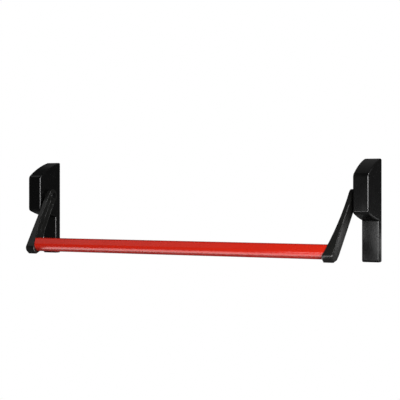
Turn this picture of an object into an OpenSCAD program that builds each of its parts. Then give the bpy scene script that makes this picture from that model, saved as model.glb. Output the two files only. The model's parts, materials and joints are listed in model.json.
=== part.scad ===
// Push-bar panic exit device: two door-mounted housings, two pivoting arms and a bar between them.
// Millimetres. X runs along the bar, the door's face is the plane Y = 0 and the user stands at -Y.
// The origin is the centre of the four door-fixing holes.
// The active unit, with the latch, is at -X. The idle unit, at +X, only carries the bar.
//
// Each unit is drawn once in its own frame and then placed at both ends: x is measured from the
// unit's centre, positive away from the bar, "depth" is measured from the door towards the user,
// and z is the height. An arm is drawn hanging straight down from its pivot, then tilted.

/* [Layout] */
// Distance between the centres of the two units
unit_spacing = 753; // [500:1:1000]
// Height of the door-fixing holes above and below the origin
fixing_z = 84; // [82:0.5:86]
// Radius of the door-fixing holes
fixing_r = 2.75; // [2:0.05:3.5]

/* [Housing] */
// Height of a housing
housing_h = 203; // [202:0.5:204]
// Width of a housing at the door
base_w = 36; // [35.5:0.1:37]
// Width of a housing at the front of its box
front_w = 32; // [31.5:0.1:33]
// Depth of the upper box
box_d = 73.4; // [72:0.1:80]
// Depth of the slim lower part
slim_d = 15.4; // [14.5:0.1:18]
// Height where the box's underside leaves the slim part
belly_z = -20; // [-22:0.5:-18]
// Height of the box's front lower edge
front_low_z = -5; // [-7:0.5:-3]
// Height of the box's front upper edge
front_high_z = 69.6; // [69:0.1:72]
// Wall thickness of a cover
wall = 2; // [1.6:0.1:2]

/* [Arm] */
// Tilt of the arms from vertical at rest
arm_tilt = 38.3; // [36:0.1:40]
// Depth of the pivot axis from the door
pivot_depth = 43.6; // [43.4:0.1:43.8]
// Height of the pivot axis
pivot_z = 27.3; // [27.1:0.1:27.5]
// Depth of an arm, front face to back face
arm_depth = 29; // [28.5:0.1:30]
// Length from the pivot axis to the arm's lower end
arm_len = 154.7; // [153:0.1:158]
// Thickness of the cap on an arm's lower end
cap_t = 6.5; // [6:0.1:7]
// Length from the pivot axis to the centre of the cap's round top
cap_s = 130; // [128:0.5:132]

/* [Bar] */
// Long side of the oval bar tube, along the arm
bar_h = 27; // [26:0.1:27.5]
// Short side of the oval bar tube
bar_w = 23; // [22:0.1:23.5]
// Corner radius of the bar tube
bar_r = 8.5; // [7:0.1:9.5]
// Wall thickness of the bar tube
bar_wall = 1.5; // [1:0.1:2]
// Length from the pivot axis to the bar's centre
bar_s = 133.5; // [132.5:0.1:134.5]
// Offset of the bar's centre towards the arm's front face
bar_t = 1.7; // [1:0.1:2]

/* [Mechanism] */
// Travel of the push bar
push_angle = 25; // [20:0.5:25]
// Length of the cam lever from the shaft to its pin
lever_len = 28; // [27.5:0.1:28]
// Travel of the latch bolt
bolt_travel = 12; // [10:0.1:12]
// Radius of the pivot shaft
shaft_r = 5; // [4.9:0.02:5]
// Radial running clearance of the shaft in its bushes
shaft_gap = 0.05; // [0.02:0.01:0.1]

/* [Hidden] */
$fn = 64;

black = "#1b1b1d";
red = "#cf3527";
steel = "#b9bdc1";
zinc = "#8f9397";
nylon = "#e7e4da";
rubber = "#2c2c2e";

eps = 0.01;
gap = 0.3;        // between faces of moving pieces
loose = 0.05;     // between fitted pieces that do not move

// Base plate and brackets
plate_t = 3;
plate_w = 29;
plate_z = [-97.5, 95.5];
bracket_x = 8.8;  // inner face of a bracket
bracket_t = 2;
foot_low = [-4, 4];
foot_high = [28, 36];
foot_start = 0.3; // depth at which the riveted feet begin
bush_r = 7;
flange_r = 9.5;
flange_t = 1.2;

// Cover fixings: a hook over a lip at the top, and a screw into a tab at the bottom
hook_half_w = 6;
hook_depth = [4.2, 6.2];
hook_low = 93.2;
lip_depth = [7, 8.8];
lip_z = [92, 94.2];
lip_tab_z = [90.5, 92.5];
screw_tab_half_w = 9;
screw_tab_d = 13;
screw_tab_t = 2.5;
cover_screw_depth = 8;
cover_screw_r = 2;
cover_screw_head_r = 3.8;
cover_screw_head_t = 1.8;
cover_screw_len = 8;
recess_deep = 0.8;

// Arm: x of its outer and inner faces, at a distance s below the pivot
arm_out_x = -20.5;
arm_in_x = -30.2;
function arm_out(s) = arm_out_x - 0.0613 * max(s, 0);
function arm_in(s) = arm_in_x - 0.03 * max(s, 0) - 0.00072 * pow(max(s, 0), 2);
arm_r = arm_depth / 2;
end_r = 8.5;      // lower front corner of an arm
bar_end_x = -40.2;
boss_r = 9.5;     // round boss at the pivot
boss_h = 2;
pocket_s = [15, 108];
pocket_t = [2, 11];
pocket_deep = 1.5;
tenon = 7;        // square end of the pivot shaft
tenon_x = -25.8;
head_seat_x = -28.2;
head_recess_r = 6.5;
hub_screw_r = 2.45;
hub_head_r = 4.6;
hub_head_t = 2.8;
hub_screw_end_x = -15;
bar_screw_r = 3;
bar_head_r = 5;
bar_head_t = 3.4;
bar_screw_seat = -35.8;
bar_plug_len = 24;
arm_room_x = [-60, -15]; // wider than an arm anywhere, for the solids that trim it

// Shaft
shaft_end_x = 13.5;
thread_r = 2.5;
thread_end_x = -14;
collar_r = 9;
collar_end_x = -17.2;
clip_x = [12.1, 13.1];
clip_r = 7.5;
clip_mouth = 2.5;
groove_r = 4.2;
key_r = 1.25;

// Lever: it points at the door, below the horizontal at rest and as far above it when pushed
lever_rest = push_angle / 2;
lever_x = [1.2, 5.2];
lever_hub_r = 7.5;
lever_tip_r = 5;
lever_pin_end_x = 8;
key_x = (lever_x[0] + lever_x[1]) / 2;
pin_r = 2.5;
lift = 2 * lever_len * sin(lever_rest);
lever_pin_depth = pivot_depth - lever_len * cos(lever_rest);
lever_pin_z = pivot_z - lever_len * sin(lever_rest);
stop_reach = 16;  // along the lever to the stop pins
stop_off = 10.8;  // from the lever's centre line to a stop pin's centre
stop_depth = pivot_depth - stop_reach * cos(lever_rest) + stop_off * sin(lever_rest);
stop_dz = stop_reach * sin(lever_rest) + stop_off * cos(lever_rest);
stop_z = [pivot_z - stop_dz, pivot_z + stop_dz];
stop_pin_r = 2.5;
stop_pin_x = bracket_x + bracket_t + 0.8;
buffer_r = 4;

// Torsion spring
coil_r = 7.2;
coil_x = [-7.5, 0.2];
coil_turn = 3 * 360 + 180 + lever_rest;
coil_steps = 64;
coil_wire_r = 0.9;

// Latch
bolt_depth = [9, 25];
bolt_z = [50.7, 73.7];
bolt_tip_x = 28.5;
bolt_shoulder_x = 17;
bolt_nose_d = 3;
bolt_pin_x = 4.5;
bolt_pin_z = 56;
bolt_pin_start = 3.6;
spring_z = 67.5;
spring_depth = 17;
spring_bore_r = 3.4;
spring_bore_x = 18;
spring_turns = 11;
slider_depth = [4, 7];
slider_x = [-12, 9];
slider_foot_z = -36;
slider_half_w = 5;
slot_r = pin_r + gap;
slot_start = [bolt_pin_x, bolt_pin_z];
slot_end = [bolt_pin_x - bolt_travel, bolt_pin_z - lift];
ear_x = [5.6, 8.1];
ear_half = 6;
ear_d = 22;
guide_x = [-14, 13.8];
guide_wall = 2.2;
guide_end_x = -12.4;
guide_slot_x = 9.4;
guide_screw_x = 11.6;
guide_screw_z = [52, 72];
guide_screw_r = 1.5;
guide_screw_head_r = 2.7;
guide_screw_head_t = 1.4;
guide_screw_len = 8;
stud_z = [6, -18];
stud_r = 2;
stud_head_r = 4;
stud_head_t = 1.5;

// ---- helpers -------------------------------------------------------------------------------

// side -1 places a unit's piece in the active unit, +1 in the idle unit
module unit(side) {
    if (side > 0) translate([unit_spacing / 2, 0, 0]) children();
    else mirror([1, 0, 0]) translate([unit_spacing / 2, 0, 0]) children();
}

// Tilts a piece drawn hanging from the pivot axis
module on_arm() {
    translate([0, -pivot_depth, pivot_z]) rotate([-arm_tilt, 0, 0]) children();
}

// A profile in (depth, z), extruded along x
module from_side(x) {
    translate([x[0], 0, 0]) mirror([0, 1, 0]) rotate([90, 0, 90])
        linear_extrude(x[1] - x[0]) children();
}

// A profile in (x, z), extruded along the depth
module from_front(d) {
    translate([0, -d[0], 0]) rotate([90, 0, 0]) linear_extrude(d[1] - d[0]) children();
}

// A profile in (x, depth), extruded along z
module from_top(z) {
    translate([0, 0, z[0]]) mirror([0, 1, 0]) linear_extrude(z[1] - z[0]) children();
}

module block(x, d, z) {
    translate([x[0], -d[1], z[0]]) cube([x[1] - x[0], d[1] - d[0], z[1] - z[0]]);
}

module rod_x(r, x, depth, z) {
    translate([x[0], -depth, z]) rotate([0, 90, 0]) cylinder(r = r, h = x[1] - x[0]);
}

module rod_y(r, d, x, z) {
    translate([x, -d[0], z]) rotate([90, 0, 0]) cylinder(r = r, h = d[1] - d[0]);
}

// Countersunk head, wide end at depth d0, tapering to the shank's radius
module countersink_y(head_r, shank_r, d0, t, x, z) {
    translate([x, -d0, z]) rotate([90, 0, 0]) cylinder(r1 = head_r, r2 = shank_r, h = t);
}

module rounded_rect(w, h, r) {
    square([w - 2 * r, h], center = true);
    square([w, h - 2 * r], center = true);
    for (i = [-1, 1], j = [-1, 1]) translate([i * (w / 2 - r), j * (h / 2 - r)]) circle(r);
}

// A slot's outline: a straight run with round ends, from point a to point b
module slot2d(a, b, r) {
    d = b - a;
    n = [-d[1], d[0]] / norm(d) * r;
    translate(a) circle(r);
    translate(b) circle(r);
    polygon([a + n, b + n, b - n, a - n]);
}

// Points along an arc of radius r, from angle a0 to a1
function arc(centre, r, a0, a1, n) = [
    for (i = [0 : n]) let (a = a0 + (a1 - a0) * i / n) centre + r * [cos(a), sin(a)]
];

// Points from a to b on a curve that rises by "rise" to the right of the line
function bow(a, b, rise, n = 12) = [
    for (i = [0 : n]) let (
        t = i / n,
        side = [b[1] - a[1], a[0] - b[0]] / norm(b - a)
    ) a + (b - a) * t + side * rise * 4 * t * (1 - t)
];

// Wire of radius r swept along points that never run parallel to x
function ring(at, dir, r, sides) = let (
    u = cross(dir, [1, 0, 0]) / norm(cross(dir, [1, 0, 0])),
    v = cross(dir, u) / norm(dir)
) [for (k = [0 : sides - 1]) at + r * (u * cos(360 * k / sides) + v * sin(360 * k / sides))];

module wire(path, r, sides = 6) {
    n = len(path);
    rings = [
        for (i = [0 : n - 1])
            each ring(path[i], path[min(i + 1, n - 1)] - path[max(i - 1, 0)], r, sides)
    ];
    sidewalls = [
        for (i = [0 : n - 2], k = [0 : sides - 1]) let (
            a = i * sides + k,
            b = i * sides + (k + 1) % sides
        ) each [[a, b, b + sides], [a, b + sides, a + sides]]
    ];
    start = [for (k = [sides - 1 : -1 : 0]) k];
    end = [for (k = [0 : sides - 1]) (n - 1) * sides + k];
    polyhedron(points = rings, faces = concat(sidewalls, [start, end]), convexity = 10);
}

// ---- housing -------------------------------------------------------------------------------

function half_width(depth) = (base_w - (base_w - front_w) * depth / box_d) / 2;

// Side outline of a cover, pulled in by e
function cover_side(e) = concat(
    [[e > 0 ? -1 : 0, -housing_h / 2 + e], [slim_d - e, -housing_h / 2 + e]],
    bow([slim_d - e, belly_z + e], [box_d - e, front_low_z + e], 1.3),
    bow([box_d - e, front_high_z - 0.3 * e], [e > 0 ? -1 : 0, housing_h / 2 - 1.1 * e], 3.8)
);

function cover_plan(e) = [
    [-half_width(0) + e, e > 0 ? -1 : 0], [half_width(0) - e, e > 0 ? -1 : 0],
    [half_width(box_d) - e, box_d], [-half_width(box_d) + e, box_d]
];

module cover_solid(e) {
    intersection() {
        from_side([-base_w, base_w]) polygon(cover_side(e));
        from_top([-housing_h, housing_h]) polygon(cover_plan(e));
    }
}

module cover(latch_window) {
    color(black) {
        difference() {
            cover_solid(0);
            cover_solid(wall);
            rod_x(shaft_r + 1, [-base_w, 0], pivot_depth, pivot_z);
            translate([0, -cover_screw_depth, -housing_h / 2 - 1])
                cylinder(r = cover_screw_r + 0.2, h = wall + 2);
            translate([0, -cover_screw_depth, -housing_h / 2 - eps])
                cylinder(r1 = cover_screw_head_r + 0.2, r2 = cover_screw_r + 0.2,
                    h = cover_screw_head_t);
            if (latch_window)
                block([10, base_w], bolt_depth + [-0.5, 0.5], bolt_z + [-0.5, 0.5]);
        }
        // hook inside the top that drops behind the base plate's lip
        intersection() {
            block([-hook_half_w, hook_half_w], hook_depth, [hook_low, housing_h / 2]);
            cover_solid(wall / 2);
        }
    }
}

module cover_screw() {
    color(steel) translate([0, -cover_screw_depth, -housing_h / 2]) difference() {
        union() {
            cylinder(r1 = cover_screw_head_r, r2 = cover_screw_r, h = cover_screw_head_t);
            cylinder(r = cover_screw_r, h = cover_screw_len);
        }
        // cross recess
        for (size = [[1, 6], [6, 1]])
            translate([-size[0] / 2, -size[1] / 2, -1]) cube([size[0], size[1], 1 + recess_deep]);
    }
}

module base_plate(with_latch) {
    color(zinc) difference() {
        union() {
            block([-plate_w / 2, plate_w / 2], [0, plate_t], plate_z);
            // tab for the cover screw
            block([-screw_tab_half_w, screw_tab_half_w], [0, screw_tab_d],
                [plate_z[0], plate_z[0] + screw_tab_t]);
            // tab and lip for the cover's hook
            block([-hook_half_w, hook_half_w], [0, lip_depth[1]], lip_tab_z);
            block([-hook_half_w, hook_half_w], lip_depth, lip_z);
        }
        for (z = [-fixing_z, fixing_z]) rod_y(fixing_r, [-1, plate_t + 1], 0, z);
        translate([0, -cover_screw_depth, -housing_h / 2])
            cylinder(r = cover_screw_r + loose, h = cover_screw_len);
        for (side = [-1, 1], foot = [foot_low, foot_high])
            translate([side * (bracket_x + bracket_t / 2), 0, 0])
                block([-bracket_t / 2 - loose, bracket_t / 2 + loose], [-1, plate_t + 1],
                    foot + [-loose, loose]);
        if (with_latch)
            for (z = guide_screw_z) {
                rod_y(guide_screw_r + loose, [-1, plate_t + 1], guide_screw_x, z);
                countersink_y(guide_screw_head_r, guide_screw_r, -eps, guide_screw_head_t,
                    guide_screw_x, z);
            }
    }
}

// ---- bearing brackets ----------------------------------------------------------------------

module bracket_outline() {
    difference() {
        union() {
            polygon([[8, -4], [38, 2], [54, 14], [54, 40], [46, 47.3], [28, 47.3], [26, 45], [8, 40]]);
            for (foot = [foot_low, foot_high])
                translate([foot_start, foot[0]]) square([10, foot[1] - foot[0]]);
        }
        translate([pivot_depth, pivot_z]) circle(bush_r);
        for (z = stop_z) translate([stop_depth, z]) circle(stop_pin_r);
    }
}

// side -1 is the bracket next to the arm, +1 the one away from it
module bracket(side) {
    x = side * (bracket_x + bracket_t / 2);
    color(zinc) from_side([x - bracket_t / 2, x + bracket_t / 2]) bracket_outline();
}

module bushes() {
    color(nylon) for (side = [-1, 1]) mirror([side < 0 ? 1 : 0, 0, 0]) difference() {
        union() {
            rod_x(bush_r - loose, [bracket_x, bracket_x + bracket_t + eps], pivot_depth, pivot_z);
            rod_x(flange_r, [bracket_x + bracket_t, bracket_x + bracket_t + flange_t],
                pivot_depth, pivot_z);
        }
        rod_x(shaft_r + shaft_gap, [0, base_w], pivot_depth, pivot_z);
    }
}

module stop_pins() {
    color(steel) for (z = stop_z)
        rod_x(stop_pin_r - loose, [-stop_pin_x, stop_pin_x], stop_depth, z);
}

module stop_buffers() {
    color(rubber) for (z = stop_z) difference() {
        rod_x(buffer_r, lever_x + [-1.5, 1.5], stop_depth, z);
        rod_x(stop_pin_r, [-base_w, base_w], stop_depth, z);
    }
}

// ---- shaft and lever -----------------------------------------------------------------------

module pivot_shaft() {
    color(steel) difference() {
        union() {
            rod_x(shaft_r, [arm_out_x + 0.1, shaft_end_x], pivot_depth, pivot_z);
            on_arm() translate([tenon_x, -tenon / 2, -tenon / 2])
                cube([arm_out_x + 1 - tenon_x, tenon, tenon]);
        }
        rod_x(thread_r, [tenon_x - 1, thread_end_x], pivot_depth, pivot_z);
        difference() {
            rod_x(shaft_r + 1, clip_x, pivot_depth, pivot_z);
            rod_x(groove_r, clip_x, pivot_depth, pivot_z);
        }
        at_lever() translate([key_x, 0, -base_w / 2]) cylinder(r = key_r + loose, h = base_w);
    }
}

module pivot_collar() {
    color(nylon) difference() {
        rod_x(collar_r, [arm_out_x + loose, collar_end_x], pivot_depth, pivot_z);
        rod_x(shaft_r + loose, [-base_w, 0], pivot_depth, pivot_z);
    }
}

module shaft_clip() {
    color(steel) difference() {
        rod_x(clip_r, clip_x + [loose, -loose], pivot_depth, pivot_z);
        rod_x(groove_r + loose, [0, base_w], pivot_depth, pivot_z);
        block([0, base_w], [pivot_depth, pivot_depth + clip_r + 1],
            [pivot_z - clip_mouth, pivot_z + clip_mouth]);
    }
}

// Lever frame: origin on the pivot axis, the lever reaching towards the door along +y
module at_lever() {
    translate([0, -pivot_depth, pivot_z]) rotate([-lever_rest, 0, 0]) children();
}

module lever(len) {
    tangent = 90 - asin((lever_hub_r - lever_tip_r) / len);
    color(steel) difference() {
        at_lever() translate([lever_x[0], 0, 0]) rotate([90, 0, 90])
            linear_extrude(lever_x[1] - lever_x[0]) polygon(concat(
                arc([0, 0], lever_hub_r, tangent, 360 - tangent, 28),
                arc([len, 0], lever_tip_r, -tangent, tangent, 20)
            ));
        rod_x(shaft_r + loose, [-base_w, base_w], pivot_depth, pivot_z);
        at_lever() translate([key_x, 0, -base_w / 2]) cylinder(r = key_r + loose, h = base_w);
        if (len == lever_len)
            rod_x(pin_r, [-base_w, base_w], lever_pin_depth, lever_pin_z);
    }
}

module lever_key() {
    color(steel) at_lever() translate([key_x, 0, -lever_hub_r + 0.2])
        cylinder(r = key_r, h = 2 * lever_hub_r - 0.4);
}

module lever_pin() {
    color(steel) rod_x(pin_r - eps, [lever_x[0], lever_pin_end_x], lever_pin_depth, lever_pin_z);
}

// A leg along the base plate's side, the coil, and a leg over the lever
module return_spring() {
    along = [-cos(lever_rest), -sin(lever_rest)];
    start = [pivot_depth, pivot_z - coil_r];
    last = [pivot_depth, pivot_z] + coil_r * [cos(90 + lever_rest), sin(90 + lever_rest)];
    function at(x, dz) = [x, -dz[0], dz[1]];
    path = concat(
        [at(coil_x[0], [4.2, start[1]]), at(coil_x[0], [25, start[1]])],
        [for (i = [0 : coil_steps]) let (a = -90 + coil_turn * i / coil_steps)
            at(coil_x[0] + (coil_x[1] - coil_x[0]) * i / coil_steps,
                [pivot_depth + coil_r * cos(a), pivot_z + coil_r * sin(a)])],
        [at(coil_x[1], last + 13 * along), at(3.2, last + 23 * along)]
    );
    color(steel) wire(path, coil_wire_r);
}

// ---- arm and bar ---------------------------------------------------------------------------

// Side outline of an arm hanging from the origin, in (depth, z)
module arm_outline() {
    polygon(concat(
        arc([0, 0], arm_r, 0, 180, 32),
        [[-arm_r, 25 - arm_len], [-12.4, 12 - arm_len], [-3, -arm_len]],
        arc([arm_r - end_r, end_r - arm_len], end_r, -90, 0, 12)
    ));
}

// Front outline between the curved inner face and the outer face, which bends at the pivot
function arm_front(s0, s1, n = 24) = concat(
    [for (i = [0 : n]) let (s = s0 + (s1 - s0) * i / n) [arm_in(s), -s]],
    [[arm_out(s1), -s1], [arm_out(0), 0], [arm_out(s0), -s0]]
);

// Front outline of the end cap and of its seat, between two distances from the outer face
function cap_front(out_dx, in_dx) = let (top = cap_s - 20, low = arm_len + 5) [
    [arm_out(top) + out_dx, -top], [arm_out(top) - cap_t + in_dx, -top],
    [arm_out(low) - cap_t + in_dx, -low], [arm_out(low) + out_dx, -low]
];

// Side outline of the end cap: a round top, and past the arm's end below
module cap_region(shrink) {
    low = -arm_len - 5;
    polygon(concat(
        arc([0, -cap_s], arm_r - shrink, 0, 180, 32),
        [[-arm_r - 1, -cap_s], [-arm_r - 1, low], [arm_r + 1, low], [arm_r + 1, -cap_s]]
    ));
}

module arm() {
    color(black) difference() {
        on_arm() difference() {
            union() {
                intersection() {
                    from_side(arm_room_x) arm_outline();
                    from_front([-20, 20]) polygon(arm_front(-16, arm_len + 4));
                }
                rod_x(boss_r, [arm_in_x - boss_h, arm_in_x + 1], 0, 0);
            }
            // seat of the end cap
            intersection() {
                from_side(arm_room_x) cap_region(0);
                from_front([-20, 20]) polygon(cap_front(cap_t, 0));
            }
            // panels beside the centre rib of the inner face
            for (m = [-1, 1])
                from_front(m > 0 ? pocket_t : [-pocket_t[1], -pocket_t[0]]) polygon(concat(
                    [for (i = [0 : 12]) let (s = pocket_s[0] + (pocket_s[1] - pocket_s[0]) * i / 12)
                        [arm_in(s) + pocket_deep, -s]],
                    [[-60, -pocket_s[1]], [-60, -pocket_s[0]]]
                ));
            // bar socket, screw hole and screw seat
            from_side([-70, bar_end_x + 0.1]) translate([bar_t, -bar_s])
                rounded_rect(bar_w + 0.2, bar_h + 0.2, bar_r + 0.1);
            rod_x(bar_screw_r + 0.2, arm_room_x, bar_t, -bar_s);
            rod_x(bar_head_r + 0.6, [bar_screw_seat, -20], bar_t, -bar_s);
            // square socket for the shaft
            translate([tenon_x - 0.1, -tenon / 2 - loose, -tenon / 2 - loose])
                cube([20, tenon + 2 * loose, tenon + 2 * loose]);
            rod_x(hub_screw_r + 0.25, arm_room_x, 0, 0);
            rod_x(head_recess_r, [arm_room_x[0], head_seat_x], 0, 0);
        }
    }
}

module arm_cap() {
    color(black) on_arm() difference() {
        intersection() {
            from_side(arm_room_x) arm_outline();
            from_side(arm_room_x) cap_region(0.2);
            from_front([-20, 20]) polygon(cap_front(0, loose));
        }
        // room for the bar screw's head
        rod_x(bar_head_r + 1, [arm_room_x[0], bar_screw_seat + bar_head_t + 0.6], bar_t, -bar_s);
    }
}

module hub_screw() {
    color(steel) on_arm() difference() {
        union() {
            rod_x(hub_head_r, [head_seat_x - hub_head_t, head_seat_x], 0, 0);
            rod_x(hub_screw_r, [head_seat_x - eps, hub_screw_end_x], 0, 0);
        }
        // hexagon socket
        from_side([head_seat_x - hub_head_t - 1, head_seat_x - 1]) circle(2.2, $fn = 6);
    }
}

module bar_plug() {
    inner_w = bar_w - 2 * bar_wall - 2 * loose;
    inner_h = bar_h - 2 * bar_wall - 2 * loose;
    color(rubber) on_arm() difference() {
        from_side([bar_end_x - bar_plug_len, bar_end_x]) translate([bar_t, -bar_s])
            rounded_rect(inner_w, inner_h, bar_r - bar_wall - loose);
        rod_x(bar_screw_r + loose, [bar_end_x - bar_plug_len + 2, 0], bar_t, -bar_s);
    }
}

module bar_screw() {
    color(steel) on_arm() difference() {
        union() {
            rod_x(bar_head_r, [bar_screw_seat, bar_screw_seat + bar_head_t], bar_t, -bar_s);
            rod_x(bar_screw_r, [arm_room_x[0], bar_screw_seat + eps], bar_t, -bar_s);
        }
        // hexagon socket
        from_side([bar_screw_seat + 1.4, bar_screw_seat + bar_head_t + 1]) translate([bar_t, -bar_s])
            circle(2.6, $fn = 6);
    }
}

module push_bar() {
    half = unit_spacing / 2 + bar_end_x;
    color(red) on_arm() from_side([-half, half]) translate([bar_t, -bar_s]) difference() {
        rounded_rect(bar_w, bar_h, bar_r);
        rounded_rect(bar_w - 2 * bar_wall, bar_h - 2 * bar_wall, bar_r - bar_wall);
    }
}

// ---- latch ---------------------------------------------------------------------------------

module latch_bolt() {
    color(steel) difference() {
        from_top(bolt_z) polygon([
            [0, bolt_depth[0]], [bolt_tip_x, bolt_depth[0]],
            [bolt_tip_x, bolt_depth[0] + bolt_nose_d],
            [bolt_shoulder_x, bolt_depth[1]], [0, bolt_depth[1]]
        ]);
        rod_x(spring_bore_r, [-1, spring_bore_x], spring_depth, spring_z);
        rod_y(pin_r, [0, bolt_depth[1] - 1], bolt_pin_x, bolt_pin_z);
    }
}

module latch_bolt_pin() {
    color(steel) rod_y(pin_r - eps, [bolt_pin_start, bolt_depth[1] - 1], bolt_pin_x, bolt_pin_z);
}

module latch_spring() {
    steps = 14 * spring_turns;
    x = [guide_end_x + 0.5, spring_bore_x - 0.5];
    color(steel) wire([
        for (i = [0 : steps]) let (a = 360 * spring_turns * i / steps)
            [x[0] + (x[1] - x[0]) * i / steps, -spring_depth + 2.5 * cos(a), spring_z + 2.5 * sin(a)]
    ], 0.4);
}

module latch_guide() {
    z = [bolt_z[0] - gap - guide_wall, bolt_z[1] + gap + guide_wall];
    color(zinc) difference() {
        block(guide_x, [plate_t, bolt_depth[1] + gap + guide_wall], z);
        block([guide_end_x, base_w], bolt_depth + [-gap, gap], bolt_z + [-gap, gap]);
        // room for the slider and the bolt pin
        block([guide_end_x, guide_slot_x], [plate_t - 1, bolt_depth[0]], [0, housing_h / 2]);
        for (hole_z = guide_screw_z)
            rod_y(guide_screw_r, [0, guide_screw_len + 0.2], guide_screw_x, hole_z);
    }
}

module latch_guide_screws() {
    sunk = 0.15;
    color(steel) for (z = guide_screw_z) difference() {
        union() {
            rod_y(guide_screw_r - eps, [sunk, guide_screw_len], guide_screw_x, z);
            countersink_y(guide_screw_head_r - 0.2, guide_screw_r - eps, sunk,
                guide_screw_head_t - 0.2, guide_screw_x, z);
        }
        // slot across the head
        translate([guide_screw_x, 0, z]) block([-3, 3], [-1, recess_deep], [-0.35, 0.35]);
    }
}

module latch_slider() {
    color(zinc) difference() {
        union() {
            // plate with the ramp that carries the bolt pin
            from_front(slider_depth) difference() {
                union() {
                    translate([slider_x[0], slot_end[1] - slot_r - 2])
                        square([slider_x[1] - slider_x[0], lift + 2 * slot_r + 4]);
                    translate([-slider_half_w, slider_foot_z])
                        square([2 * slider_half_w, slot_end[1] - slider_foot_z]);
                    translate([-slider_half_w, lever_pin_z - ear_half])
                        square([ear_x[1] + slider_half_w, 2 * ear_half]);
                }
                slot2d(slot_start, slot_end, slot_r);
                slot2d(slot_start, [slot_end[0], slot_start[1]], slot_r);
                polygon([slot_start, slot_end, [slot_end[0], slot_start[1]]]);
                translate([slot_end[0] - slot_r, slot_end[1]]) square([slot_r, lift]);
                for (z = stud_z) slot2d([0, z + gap], [0, z - lift - gap], stud_r + gap);
            }
            // ear with the level slot that carries the lever's pin
            from_side(ear_x) translate([slider_depth[0], lever_pin_z - ear_half])
                square([ear_d - slider_depth[0], 2 * ear_half]);
        }
        from_side([0, base_w]) slot2d(
            [pivot_depth - lever_len - gap, lever_pin_z], [lever_pin_depth + gap, lever_pin_z], slot_r
        );
    }
}

module slider_studs() {
    color(steel) for (z = stud_z) {
        rod_y(stud_r, [plate_t, slider_depth[1] + gap + eps], 0, z);
        rod_y(stud_head_r, [slider_depth[1] + gap, slider_depth[1] + gap + stud_head_t], 0, z);
    }
}

// ---- nodes ---------------------------------------------------------------------------------

push_bar();
unit(-1) base_plate(true);  // active_base_plate
unit(-1) bracket(-1);  // active_inner_bracket
unit(-1) bracket(1);  // active_outer_bracket
unit(-1) bushes();  // active_bushes
unit(-1) stop_pins();  // active_stop_pins
unit(-1) stop_buffers();  // active_stop_buffers
unit(-1) cover(true);  // active_cover
unit(-1) cover_screw();  // active_cover_screw
unit(-1) pivot_shaft();  // active_pivot_shaft
unit(-1) pivot_collar();  // active_pivot_collar
unit(-1) shaft_clip();  // active_shaft_clip
unit(-1) lever(lever_len);  // active_cam_lever
unit(-1) lever_key();  // active_lever_key
unit(-1) lever_pin();  // active_lever_pin
unit(-1) return_spring();  // active_return_spring
unit(-1) arm();  // active_arm
unit(-1) arm_cap();  // active_arm_cap
unit(-1) hub_screw();  // active_hub_screw
unit(-1) bar_plug();  // active_bar_plug
unit(-1) bar_screw();  // active_bar_screw
unit(-1) latch_bolt();
unit(-1) latch_bolt_pin();
unit(-1) latch_spring();
unit(-1) latch_guide();
unit(-1) latch_guide_screws();
unit(-1) latch_slider();
unit(-1) slider_studs();
unit(1) base_plate(false);  // idle_base_plate
unit(1) bracket(-1);  // idle_inner_bracket
unit(1) bracket(1);  // idle_outer_bracket
unit(1) bushes();  // idle_bushes
unit(1) stop_pins();  // idle_stop_pins
unit(1) stop_buffers();  // idle_stop_buffers
unit(1) cover(false);  // idle_cover
unit(1) cover_screw();  // idle_cover_screw
unit(1) pivot_shaft();  // idle_pivot_shaft
unit(1) pivot_collar();  // idle_pivot_collar
unit(1) shaft_clip();  // idle_shaft_clip
unit(1) lever(stop_reach + 6);  // idle_stop_lever
unit(1) lever_key();  // idle_lever_key
unit(1) return_spring();  // idle_return_spring
unit(1) arm();  // idle_arm
unit(1) arm_cap();  // idle_arm_cap
unit(1) hub_screw();  // idle_hub_screw
unit(1) bar_plug();  // idle_bar_plug
unit(1) bar_screw();  // idle_bar_screw
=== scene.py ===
"""Push-bar panic exit device: the visible pieces, their finishes and a plain studio.

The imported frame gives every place. Lengths are in millimetres while a piece is modelled, in the
frame of its unit: x is measured from the unit's centre and grows away from the bar, y runs into
the door and z is up. An arm is modelled hanging from its pivot, then tilted and placed.
"""

from __future__ import annotations

import json
import logging
import math
from collections.abc import Callable, Sequence
from dataclasses import dataclass, replace
from enum import Enum

import bmesh
import bpy
from bmesh.types import BMEdge, BMesh, BMFace, BMVert
from mathutils import Matrix, Vector


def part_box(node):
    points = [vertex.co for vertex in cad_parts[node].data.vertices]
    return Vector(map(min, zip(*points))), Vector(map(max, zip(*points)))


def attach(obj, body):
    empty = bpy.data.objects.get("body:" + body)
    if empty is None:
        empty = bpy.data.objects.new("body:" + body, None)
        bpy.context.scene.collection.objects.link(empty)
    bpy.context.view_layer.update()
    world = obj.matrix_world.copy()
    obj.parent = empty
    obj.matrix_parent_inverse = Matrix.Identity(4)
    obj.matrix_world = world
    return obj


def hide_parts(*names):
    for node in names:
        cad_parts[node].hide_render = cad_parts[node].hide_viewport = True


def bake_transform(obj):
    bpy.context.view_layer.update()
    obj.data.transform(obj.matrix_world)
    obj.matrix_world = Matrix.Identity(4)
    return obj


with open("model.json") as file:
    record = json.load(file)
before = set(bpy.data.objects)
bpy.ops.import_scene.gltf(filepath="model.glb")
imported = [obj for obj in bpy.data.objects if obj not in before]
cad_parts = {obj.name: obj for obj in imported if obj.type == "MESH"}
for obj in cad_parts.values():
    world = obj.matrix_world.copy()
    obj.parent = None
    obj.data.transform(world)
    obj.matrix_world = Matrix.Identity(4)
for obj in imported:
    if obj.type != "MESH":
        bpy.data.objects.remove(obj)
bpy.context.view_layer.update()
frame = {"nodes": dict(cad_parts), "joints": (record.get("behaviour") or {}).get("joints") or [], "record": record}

log = logging.getLogger("panic_bar")

MM = 0.001
# A pair of millimetres: (depth, z) in a side outline, or (lower, higher) for a range.
Point = tuple[float, float]
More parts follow.
